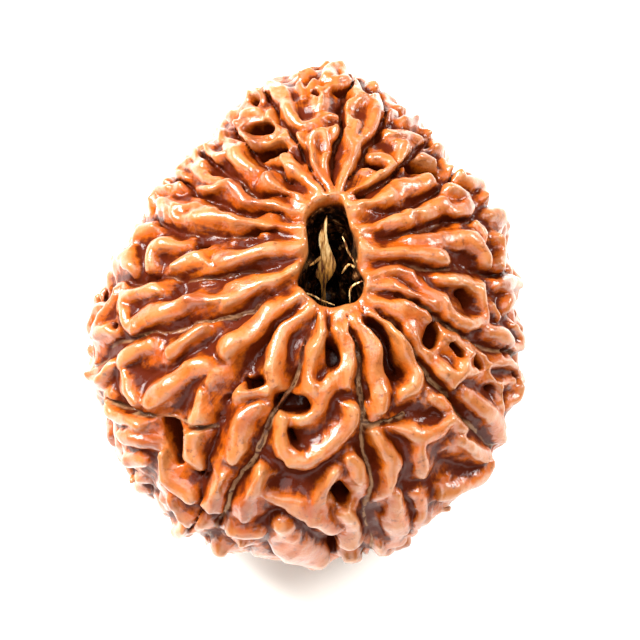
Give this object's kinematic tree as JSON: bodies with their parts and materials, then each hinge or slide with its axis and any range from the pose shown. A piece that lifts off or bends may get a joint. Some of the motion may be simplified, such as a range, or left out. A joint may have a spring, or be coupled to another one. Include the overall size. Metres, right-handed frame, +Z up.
{
  "type": "rudraksha seed",
  "caption": "Many-faced rudraksha seed, knobbly and oiled, standing on its lower pole with a slot-shaped canal mouth on top.",
  "frame": {"origin": "centre of the flat spot at the lower pole, on which the seed stands", "axes": "+Z up along the canal axis, +Y towards the narrower end of the egg-shaped plan, +X to the right as seen from the wide end"},
  "size_m": [0.0297, 0.0362, 0.0257],
  "materials": {
    "oiled_stone": "oiled, glossy",
    "dry_fibre": "dry, matt"
  },
  "bodies": {
    "root": {"seed": "oiled_stone", "canal_fibre": "dry_fibre"}
  },
  "joints": []
}
